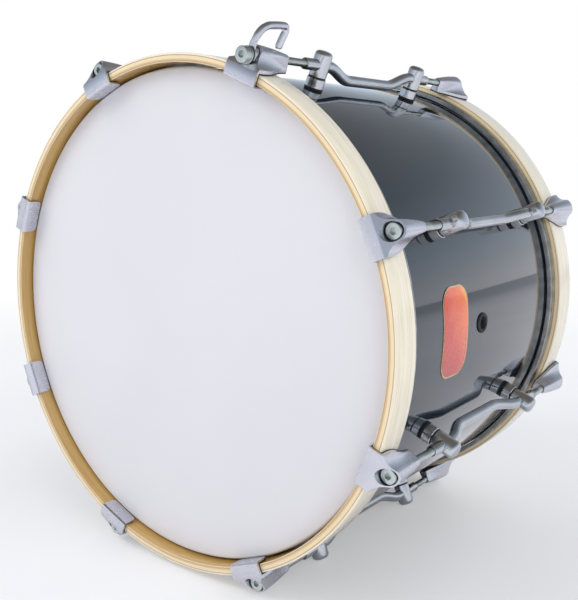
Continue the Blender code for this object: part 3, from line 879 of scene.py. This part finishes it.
def hook_meshes():
    """Bent bar that grows out of a thick eye, and the eye itself."""
    back = SEAT_DEPTH - FIT
    bar = HOOK_RADIUS
    start = back - HOOK_EYE_THICKNESS
    front = start + STRAP_DEPTH
    top = HOOK_HEIGHT
    reach = HOOK_LENGTH
    tip = boss_radius(reach) + HOOK_TIP_GAP + FIT
    path = [(0.6 * HOOK_EYE_RADIUS, front, STRAP_DEPTH, STRAP_WIDTH),
            (BOSS_RADIUS + 2 * FIT, front, STRAP_DEPTH, STRAP_WIDTH),
            (0.5 * top, front + 0.3 * HOOK_LEAN, 0.75 * bar, bar),
            (0.66 * top, front + HOOK_LEAN, bar, bar),
            (0.83 * top, front + 2.3 * HOOK_LEAN, bar, bar),
            (0.93 * top, front + 4 * HOOK_LEAN, bar, bar),
            (top - 0.2 * HOOK_RISE, front + 6 * HOOK_LEAN, bar, bar),
            (top + 0.7 * HOOK_RISE, reach - bar, bar, bar),
            (top + 0.2 * HOOK_RISE, reach + 0.4 * bar, bar, bar),
            (top - 1.0 * bar, reach + 0.8 * bar, bar, bar),
            (0.7 * top, reach + 0.4 * bar, bar, bar),
            (tip + 0.6 * bar, reach - 0.1 * bar, bar, bar),
            (tip, reach - 0.15 * bar, 0.7 * bar, 0.7 * bar)]
    eye = ring_profile(start, back, ROD_BORE, HOOK_EYE_RADIUS, HOOK_EYE_EASE)
    return mesh_of(sweep(smooth_path(path)), "bar"), mesh_of(lathe(eye, ROUND), "eye")


def cover_washer_mesh():
    back = SEAT_DEPTH - 2 * FIT - HOOK_EYE_THICKNESS
    profile = ring_profile(back - COVER_THICKNESS, back, ROD_BORE, WASHER_RADIUS, COVER_EASE)
    return mesh_of(lathe(profile, ROUND), "cover_washer")


def grommet_mesh():
    """Rubber ring through the shell, with a flange on each side and a rounded outer face."""
    outside = SHELL_R + FIT / 2
    low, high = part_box("vent_grommet")
    inside = low.x - CENTRE.x
    top = high.x - CENTRE.x
    barrel = VENT_BORE + VENT_WALL
    ease = VENT_EASE
    profile = [(inside, VENT_BORE), (inside, VENT_FLANGE),
               (inside + VENT_INNER_FLANGE, VENT_FLANGE), (inside + VENT_INNER_FLANGE, barrel),
               (outside, barrel), (outside, VENT_FLANGE - HAIR)]
    profile += [(outside + 2 * ease / 3, VENT_FLANGE), (top - ease / 3, VENT_FLANGE - ease),
                (top, VENT_FLANGE - 2 * ease), (top, barrel + ease / 3),
                (top - ease / 2, VENT_BORE + ease), (outside, VENT_BORE)]
    bm = lathe(profile, ROUND)
    bm.transform(UPRIGHT)
    return mesh_of(bm, "grommet")


def label_meshes():
    """A label with round corners bent to the shell, in a thin pale rim."""
    def outline(inset):
        corner = LABEL_CORNER - inset
        half_y = LABEL_WIDTH / 2 - LABEL_CORNER
        half_z = LABEL_LENGTH / 2 - LABEL_CORNER
        points = []
        for quarter, (y, z) in enumerate(((half_y, half_z), (-half_y, half_z),
                                          (-half_y, -half_z), (half_y, -half_z))):
            points += [(y + corner * math.cos(turn), z + corner * math.sin(turn))
                       for turn in (math.pi / 2 * (quarter + k / 8) for k in range(9))]
        divided = []
        for i, (y, z) in enumerate(points):
            far_y, far_z = points[(i + 1) % len(points)]
            steps = max(1, round(math.hypot(far_y - y, far_z - z) / LABEL_STEP))
            divided += [(y + (far_y - y) * k / steps, z + (far_z - z) * k / steps)
                        for k in range(steps)]
        return divided

    def bent(points, lift):
        radius = SHELL_R + HAIR + lift
        return [(radius * math.cos(z / SHELL_R), y, radius * math.sin(z / SHELL_R))
                for y, z in points]

    def patch(inset, low, high):
        rings = [bent(outline(inset), low), bent(outline(inset), high)]
        for share in (0.85, 0.7, 0.55, 0.4, 0.25, 0.1):
            rings.append(bent([(y * share, z * share) for y, z in outline(inset)], high))
        return loft(rings)

    rim = mesh_of(patch(0.0, 0.0, LABEL_THICKNESS), "label_rim")
    face = mesh_of(patch(LABEL_RIM, LABEL_THICKNESS * 0.5, LABEL_THICKNESS * 1.3), "label_face")
    return rim, face


def screw_mesh():
    """Pan-head screw and washer that hold a post from inside the shell."""
    inside = SHELL_R - SHELL_WALL
    top = inside - SCREW_HEAD_TOP
    seat = inside - SCREW_WASHER_TOP
    head = SCREW_HEAD_RADIUS
    rim = SCREW_WASHER_RADIUS
    ease = SCREW_EASE
    profile = [(top, 0), (top + ease, head / 2), (top + 5 * ease, head - 2 * ease),
               (seat - ease, head), (seat, head), (seat, rim - 1.5 * ease),
               (inside - 2 * ease, rim), (inside - ease, head - 2 * ease), (inside, 0)]
    bm = lathe(profile, ROUND // 2, closed=False)
    bm.transform(UPRIGHT)
    return mesh_of(bm, "lug_screw")


def make_claws(nickel, rubber):
    metal, liner_and_shade = claw_meshes()
    for word, end in ENDS:
        for index in range(1, COLUMNS + 1):
            spot, twist = column(index, end)
            name = "%s_claw_%d" % (word, index)
            put(name + "_metal", metal, [nickel], [name], "drum", spot, twist,
                soften=CLAW_SOFTEN)
            # The black liner is real where the claw rests on the hoop; past it, along the underside
            # to the nose, its dark edge is painted shade.
            put(name + "_liner", liner_and_shade, [rubber], (), "drum", spot, twist)


def make_rods(steel):
    rod, washer = rod_meshes()
    for word, end in ENDS:
        for index in range(1, COLUMNS + 1):
            lift = -(SEAT_DEPTH - FIT)
            if end < 0 and index == HOOK_COLUMN:
                lift += HOOK_LIFT
            spot, twist = column(index, end, lift)
            name = "%s_tension_rod_%d" % (word, index)
            put(name + "_screw", rod, [steel], [name], name, spot, twist)
            put(name + "_washer", washer, [steel], (), name, spot, twist)


def make_lugs(finishes):
    """Eight lugs with their inner screws. finishes gives the material of each slot."""
    pieces = lug_meshes()
    screw = screw_mesh()
    for index in range(1, COLUMNS + 1):
        spot, twist = column(index)
        for word, mesh, slot in pieces:
            nodes = ["lug_%d" % index] if word == "tube" else ()
            put("lug_%d_%s" % (index, word), mesh, [finishes[slot]], nodes, "drum",
                spot, twist)
        for word, side in ENDS:
            put("lug_%d_%s_screw" % (index, word), screw, [finishes["rod_steel"]], (),
                "drum", (0, side * POST_SPACING / 2, 0), twist)


def make_hook(nickel, rubber):
    spot, twist = column(HOOK_COLUMN, -1)
    bar, eye = hook_meshes()
    put("hook_bar", bar, [nickel], ["carry_hook"], "carry_hook", spot, twist)
    put("hook_eye", eye, [nickel], (), "carry_hook", spot, twist)
    put("hook_cover_washer", cover_washer_mesh(), [rubber], ["hook_washer"],
        "carry_hook", spot, twist)


def make_trim(rubber, label, rim_metal):
    put("grommet_fine", grommet_mesh(), [rubber], ["vent_grommet"],
        location=(0, VENT_Y, 0))
    rim, face = label_meshes()
    put("label_rim", rim, [rim_metal], location=(0, LABEL_Y, 0))
    put("label_face", face, [label], location=(0, LABEL_Y, 0))


def make_stage():
    """Flat pale floor that keeps the drum's shadow and fades to white for the camera."""
    look = Look("pale_floor", 0.7)
    cloud = look.noise(3.0, 3.0)
    look.colour(look.ramp(cloud, [(0.3, (0.80, 0.80, 0.83)), (0.7, (0.86, 0.86, 0.88))]))
    look.bump(look.noise(60.0, 3.0), 0.05, 0.0005)
    path = look.node("LightPath")
    apart = look.node("VectorMath", operation="LENGTH")
    look.link(look.place(), apart.inputs[0])
    far = look.node("MapRange", interpolation_type="SMOOTHSTEP")
    look.link(apart.outputs["Value"], far.inputs["Value"])
    far.inputs["From Min"].default_value = FLOOR_WHITE_FROM
    far.inputs["From Max"].default_value = FLOOR_WHITE_TO
    far.inputs["To Min"].default_value = FLOOR_GLOW
    share = look.maths("MULTIPLY", path.outputs["Is Camera Ray"], far.outputs[0])
    glow = look.node("Emission")
    glow.inputs["Color"].default_value = (1.0, 1.0, 1.0, 1.0)
    glow.inputs["Strength"].default_value = 1.0
    joined = look.node("MixShader")
    look.link(share, joined.inputs[0])
    look.link(look.shader.outputs[0], joined.inputs[1])
    look.link(glow.outputs[0], joined.inputs[2])
    look.link(joined.outputs[0], look.tree.nodes["Material Output"].inputs["Surface"])
    bm = bmesh.new()
    bm.faces.new([bm.verts.new((x * FLOOR_HALF, y * FLOOR_HALF, 0))
                  for x, y in ((-1, -1), (1, -1), (1, 1), (-1, 1))])
    floor = bpy.data.objects.new("floor", mesh_of(bm, "floor"))
    floor.data.materials.append(look.material)
    bpy.context.collection.objects.link(floor)
    floor.location.z = cad_box[0].z


def make_world():
    """White to the camera, soft and even as light, and a dimmer room in shiny surfaces."""
    world = bpy.data.worlds.new("studio")
    bpy.context.scene.world = world
    world.use_nodes = True
    nodes, links = world.node_tree.nodes, world.node_tree.links
    path = nodes.new("ShaderNodeLightPath")
    place = nodes.new("ShaderNodeTexCoord")
    apart = nodes.new("ShaderNodeSeparateXYZ")
    links.new(place.outputs["Generated"], apart.inputs[0])
    room = nodes.new("ShaderNodeValToRGB")
    links.new(apart.outputs[2], room.inputs[0])
    fill_ramp(room.color_ramp, ROOM_TONES)
    tints = []
    for ray in ("Is Glossy Ray", "Is Camera Ray"):
        tint = nodes.new("ShaderNodeMix")
        tint.data_type = "RGBA"
        links.new(path.outputs[ray], tint.inputs[0])
        tints.append(tint)
    glossy, seen = tints
    glossy.inputs[6].default_value = (*SOFT_LIGHT, 1.0)
    links.new(room.outputs[0], glossy.inputs[7])
    links.new(glossy.outputs[2], seen.inputs[6])
    seen.inputs[7].default_value = (1.0, 1.0, 1.0, 1.0)
    links.new(seen.outputs[2], nodes["Background"].inputs["Color"])
    nodes["Background"].inputs["Strength"].default_value = 1.0


def add_lamp(name, location, size, power):
    """A soft lamp turned to the drum's middle, which shiny surfaces don't show."""
    lamp = bpy.data.lights.new(name, "AREA")
    lamp.shape = "RECTANGLE"
    lamp.size, lamp.size_y = size
    lamp.energy = power
    holder = bpy.data.objects.new(name, lamp)
    bpy.context.collection.objects.link(holder)
    holder.location = location
    holder.visible_glossy = False
    holder.rotation_euler = (CENTRE - Vector(location)).to_track_quat("-Z", "Y").to_euler()


def make_camera():
    data = bpy.data.cameras.new("camera")
    data.lens = CAMERA_LENS
    data.sensor_width = CAMERA_SENSOR
    data.sensor_fit = "AUTO"
    camera = bpy.data.objects.new("camera", data)
    bpy.context.collection.objects.link(camera)
    camera.location = CENTRE + Vector((0, -HALF_LENGTH, 0)) + CAMERA_FROM_HOOP
    camera.rotation_euler = CAMERA_LOOK.to_track_quat("-Z", "Y").to_euler()
    bpy.context.scene.camera = camera


def build():
    rubber = rubber_look()
    nickel = metal_look("satin_nickel", (0.70, 0.70, 0.76), 0.24, 0.32, wear=0.02)
    chrome = metal_look("bright_chrome", (0.62, 0.64, 0.67), 0.10, 0.20, wear=0.03)
    steel = metal_look("zinc_steel", (0.62, 0.67, 0.64), 0.22, 0.40, wear=0.08)
    make_shell(lacquer_look())
    make_heads(film_look())
    make_flesh_hoops(alloy_look(), rubber)
    # The same maple twice: the outer face paler as painted light, the inner wall deeper tan as
    # painted shade.
    make_hoops(maple_look("maple_outer_painted_light", (0.92, 0.86, 0.72), (0.86, 0.77, 0.58)),
               maple_look("maple_inner_painted_shade", (0.64, 0.42, 0.15), (0.50, 0.29, 0.08)), ply_look())
    make_claws(nickel, rubber)
    make_rods(steel)
    make_lugs({"chrome": chrome, "black_rubber": rubber, "rod_steel": steel})
    make_hook(nickel, rubber)
    make_trim(rubber, label_look(),
              metal_look("pale_gold", (0.80, 0.62, 0.36), 0.2, 0.35, wear=0.06))
    make_stage()
    make_world()
    for lamp in LAMPS:
        add_lamp(*lamp)
    make_camera()
    bpy.context.scene.view_settings.view_transform = "Standard"


build()
